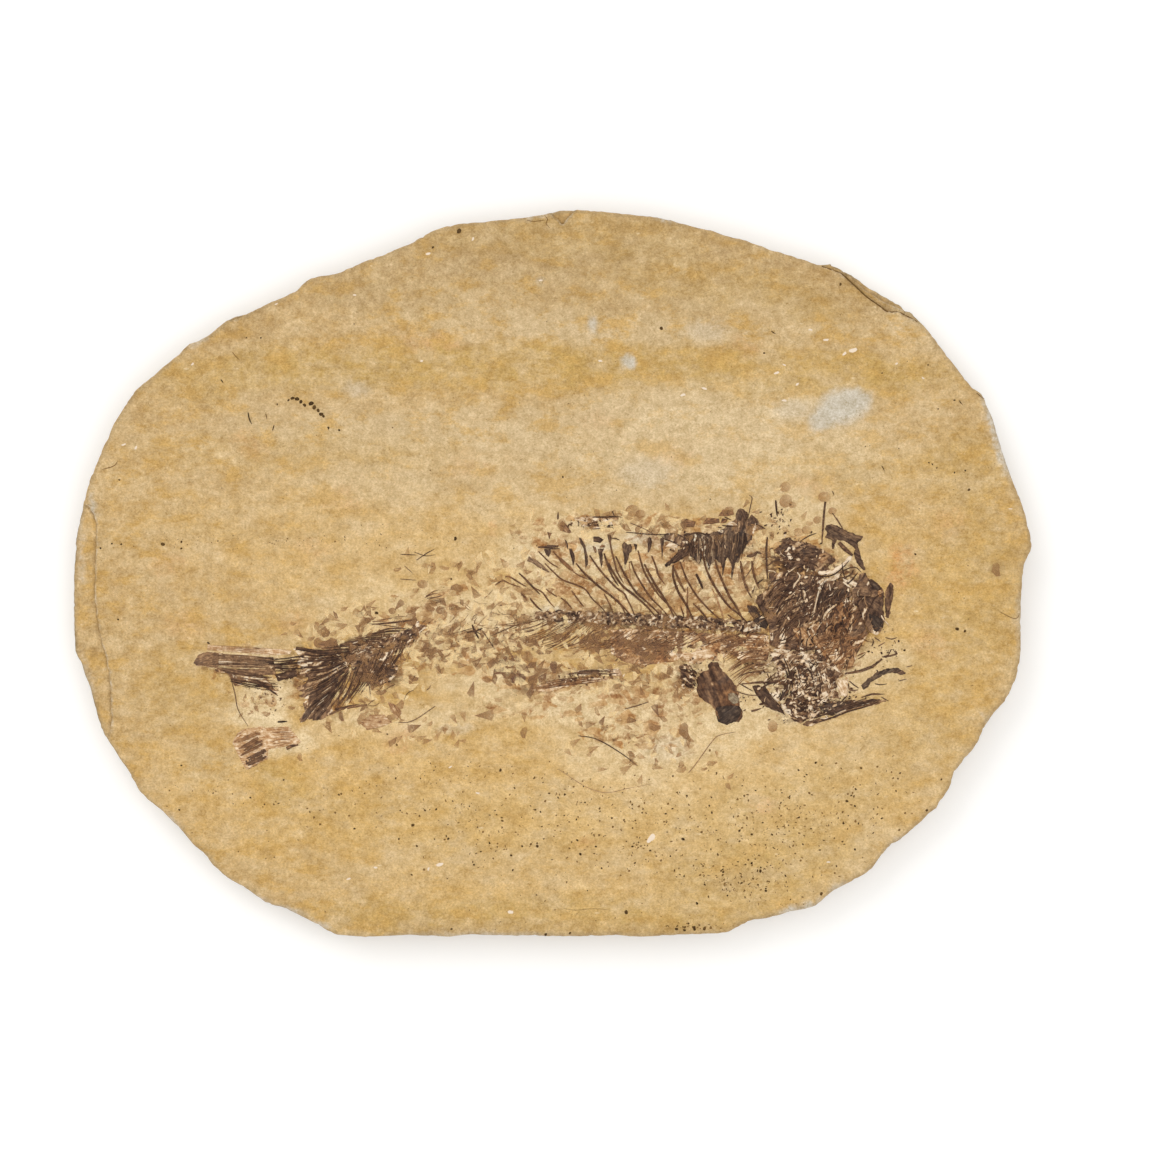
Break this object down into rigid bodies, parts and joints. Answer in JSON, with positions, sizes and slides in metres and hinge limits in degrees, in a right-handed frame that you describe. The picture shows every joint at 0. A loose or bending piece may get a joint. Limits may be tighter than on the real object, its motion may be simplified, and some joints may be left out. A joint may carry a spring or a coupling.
{
  "type": "fossil fish on limestone slab",
  "caption": "Flat oval slab of laminated ochre limestone with chipped edges, bearing the crushed dark bones of a fish in side view, head to the right; lies on its back as a display piece.",
  "frame": {"origin": "on the slab's flat back, under the middle of its outline box", "axes": "+X towards the fish's head (right in the picture), +Y towards its back (up in the picture), +Z out of the slab's face"},
  "size_m": [0.2402, 0.1823, 0.0134],
  "materials": {
    "limestone": "matt, fine-grained laminated limestone in ochre, tan and grey bands",
    "dark_bone": "mineralised bone, satin, near-black brown with cracks",
    "brown_bone": "mineralised bone, satin, mid brown"
  },
  "bodies": {
    "root": {"anal_fin_rays_back": "brown_bone", "anal_fin_rays_front": "dark_bone", "back_stick": "dark_bone", "backbone": "dark_bone", "belly_plate": "dark_bone", "belly_splinters": "dark_bone", "cheek_bone": "brown_bone", "cheek_plate": "dark_bone", "crest_spine": "dark_bone", "crest_splint": "dark_bone", "dorsal_fin_rays": "dark_bone", "fin_support_1": "dark_bone", "fin_support_2": "dark_bone", "fin_support_3": "dark_bone", "fin_support_4": "dark_bone", "fin_support_5": "dark_bone", "fin_support_6": "dark_bone", "fin_support_7": "dark_bone", "fin_support_8": "dark_bone", "fin_support_9": "dark_bone", "gill_cover": "dark_bone", "gill_rod": "dark_bone", "haemal_spine_1": "dark_bone", "haemal_spine_2": "dark_bone", "jaw_hinge": "dark_bone", "jaw_plate": "dark_bone", "jaw_splint_1": "dark_bone", "jaw_splint_2": "dark_bone", "limestone_slab": "limestone", "loose_rib": "dark_bone", "lower_jaw": "dark_bone", "lower_tail_lobe": "brown_bone", "lower_tail_tip": "dark_bone", "nape_bones": "dark_bone", "nape_spine_1": "dark_bone", "nape_spine_2": "dark_bone", "nape_spine_3": "dark_bone", "rib_fan": "brown_bone", "shoulder_bone": "dark_bone", "shoulder_wedge": "dark_bone", "skull_crest": "dark_bone", "skull_roof": "dark_bone", "snout_bone": "dark_bone", "snout_roof": "dark_bone", "tail_base_ray": "dark_bone", "tail_fan": "dark_bone", "tail_ray_stub": "dark_bone", "tail_spine_1": "dark_bone", "tail_splint": "dark_bone", "tail_vertebrae": "dark_bone", "throat_bones": "dark_bone", "throat_ray_1": "dark_bone", "throat_ray_2": "dark_bone", "upper_jaw": "dark_bone", "upper_tail_lobe": "dark_bone", "upper_tail_rays": "brown_bone", "upright_bone": "dark_bone"}
  },
  "joints": []
}
